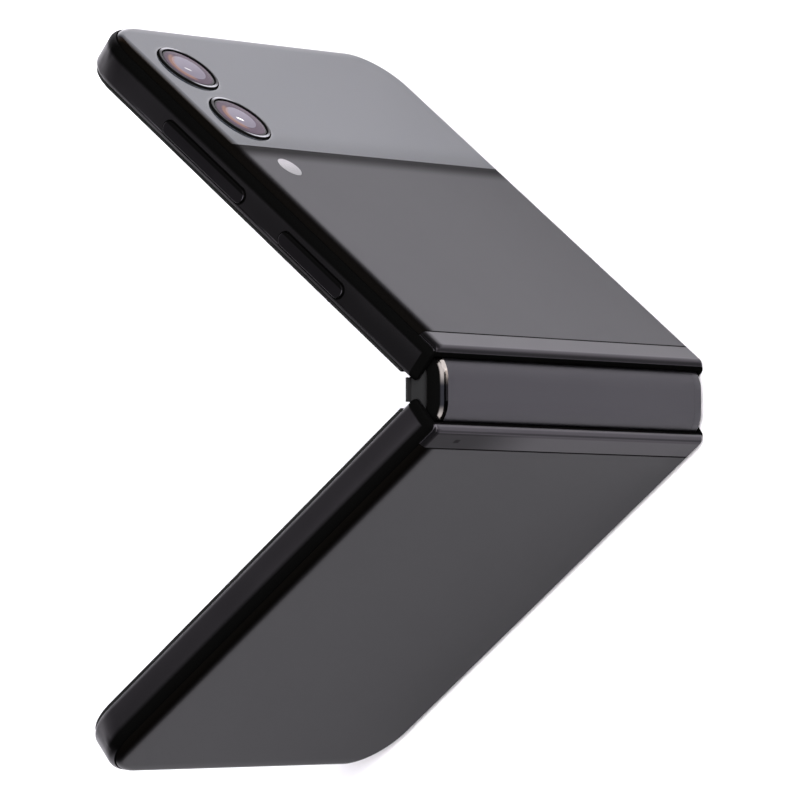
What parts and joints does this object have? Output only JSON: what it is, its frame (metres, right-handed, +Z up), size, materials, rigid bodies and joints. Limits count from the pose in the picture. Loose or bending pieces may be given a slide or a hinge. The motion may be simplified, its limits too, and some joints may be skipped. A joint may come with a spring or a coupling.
{
  "type": "folding phone",
  "caption": "Folding telephone shown half open, with slim glass-backed halves on a geared hinge, rear cameras, side keys and a card tray.",
  "frame": {"origin": "on the standing surface, under the middle of the half-open phone's outline", "axes": "+Z up along the hinge, +X from the half without cameras to the half with cameras, +Y from the hinge towards the open side"},
  "size_m": [0.114, 0.0686, 0.0725],
  "materials": {
    "frame_metal": "satin dark anodised",
    "housing_glass": "dark satin glass",
    "lip_plastic": "matt black",
    "display_glass": "gloss black",
    "cell_foil": "matt foil",
    "copper_wire": "bare wire",
    "board_laminate": "satin",
    "hinge_steel": "machined",
    "black_plastic": "matt black",
    "ring_metal": "polished",
    "lens_glass": "coated",
    "flash_plastic": "clear",
    "spine_metal": "satin dark anodised",
    "card_plastic": "matt"
  },
  "bodies": {
    "lower_half": {"lower_frame": "frame_metal", "lower_back_glass": "housing_glass", "lower_bezel": "lip_plastic", "lower_display": "display_glass", "lower_battery": "cell_foil", "charging_coil": "copper_wire", "sub_board": "board_laminate", "usb_socket": "hinge_steel", "bottom_speaker": "black_plastic", "vibration_motor": "hinge_steel", "lower_wing_1": "hinge_steel", "lower_wing_2": "hinge_steel", "lower_wing_screws": "hinge_steel"},
    "hinge_spine": {"spine_cover": "spine_metal", "end_cap_1": "black_plastic", "end_cap_2": "black_plastic", "hinge_bracket_1": "hinge_steel", "hinge_bracket_2": "hinge_steel", "arm_shafts": "hinge_steel", "idler_pins": "hinge_steel", "disc_springs": "hinge_steel", "spring_spacers": "hinge_steel", "fold_strip_lower": "display_glass", "fold_strip_upper": "display_glass"},
    "upper_half": {"upper_frame": "frame_metal", "upper_back_glass": "housing_glass", "upper_bezel": "lip_plastic", "upper_display": "display_glass", "upper_battery": "cell_foil", "main_board": "board_laminate", "board_shield": "hinge_steel", "cover_display": "display_glass", "lens_ring_1": "ring_metal", "lens_ring_2": "ring_metal", "lens_glass_1": "lens_glass", "lens_glass_2": "lens_glass", "camera_module_1": "black_plastic", "camera_module_2": "black_plastic", "flash_window": "flash_plastic", "front_camera": "black_plastic", "earpiece": "black_plastic", "key_switches": "board_laminate", "upper_wing_1": "hinge_steel", "upper_wing_2": "hinge_steel", "upper_wing_screws": "hinge_steel"},
    "lower_arms": {"lower_arm_1": "hinge_steel", "lower_arm_2": "hinge_steel"},
    "upper_arms": {"upper_arm_1": "hinge_steel", "upper_arm_2": "hinge_steel"},
    "lower_idler_gears": {"lower_idlers": "hinge_steel"},
    "upper_idler_gears": {"upper_idlers": "hinge_steel"},
    "volume_button": {"volume_key": "frame_metal"},
    "side_button": {"side_key": "frame_metal"},
    "tray": {"card_tray": "frame_metal", "card": "card_plastic"}
  },
  "joints": [
    {"name": "spine_turn", "type": "hinge", "parent": "lower_half", "child": "hinge_spine", "pos_m": [-0.00165, -0.02876, 0.0361], "axis": [0, 0, 1], "range_deg": [-51.35, 39.05], "deforming": ["fold_strip_lower"]},
    {"name": "fold", "type": "hinge", "parent": "hinge_spine", "child": "upper_half", "pos_m": [0.00165, -0.02876, 0.0361], "axis": [0, 0, 1], "range_deg": [-51.35, 39.05], "deforming": ["fold_strip_upper"]},
    {"name": "upper_arm_turn", "type": "hinge", "parent": "hinge_spine", "child": "upper_arms", "pos_m": [0.00285, -0.03131, 0.0361], "axis": [0, 0, 1], "range_deg": [-51.35, 39.05]},
    {"name": "lower_arm_turn", "type": "hinge", "parent": "hinge_spine", "child": "lower_arms", "pos_m": [-0.00285, -0.03131, 0.0361], "axis": [0, 0, 1], "range_deg": [-39.05, 51.35]},
    {"name": "upper_idler_turn", "type": "hinge", "parent": "hinge_spine", "child": "upper_idler_gears", "pos_m": [0.00095, -0.03131, 0.0361], "axis": [0, 0, 1], "range_deg": [-39.05, 51.35]},
    {"name": "lower_idler_turn", "type": "hinge", "parent": "hinge_spine", "child": "lower_idler_gears", "pos_m": [-0.00095, -0.03131, 0.0361], "axis": [0, 0, 1], "range_deg": [-51.35, 39.05]},
    {"name": "volume_press", "type": "slide", "parent": "upper_half", "child": "volume_button", "axis": [0, 0, -1], "range_m": [0, 0.0003], "stiffness_N_per_m": 3000, "springref_m": -0.0003},
    {"name": "side_press", "type": "slide", "parent": "upper_half", "child": "side_button", "axis": [0, 0, -1], "range_m": [0, 0.0003], "stiffness_N_per_m": 3000, "springref_m": -0.0003},
    {"name": "tray_slide", "type": "slide", "parent": "upper_half", "child": "tray", "axis": [0, 0, -1], "range_m": [0, 0.012]}
  ],
  "couplings": [
    {"joint": "spine_turn", "follows": "fold", "ratio": 1},
    {"joint": "upper_arm_turn", "follows": "fold", "ratio": 1},
    {"joint": "lower_arm_turn", "follows": "fold", "ratio": -1},
    {"joint": "upper_idler_turn", "follows": "fold", "ratio": -1},
    {"joint": "lower_idler_turn", "follows": "fold", "ratio": 1}
  ]
}
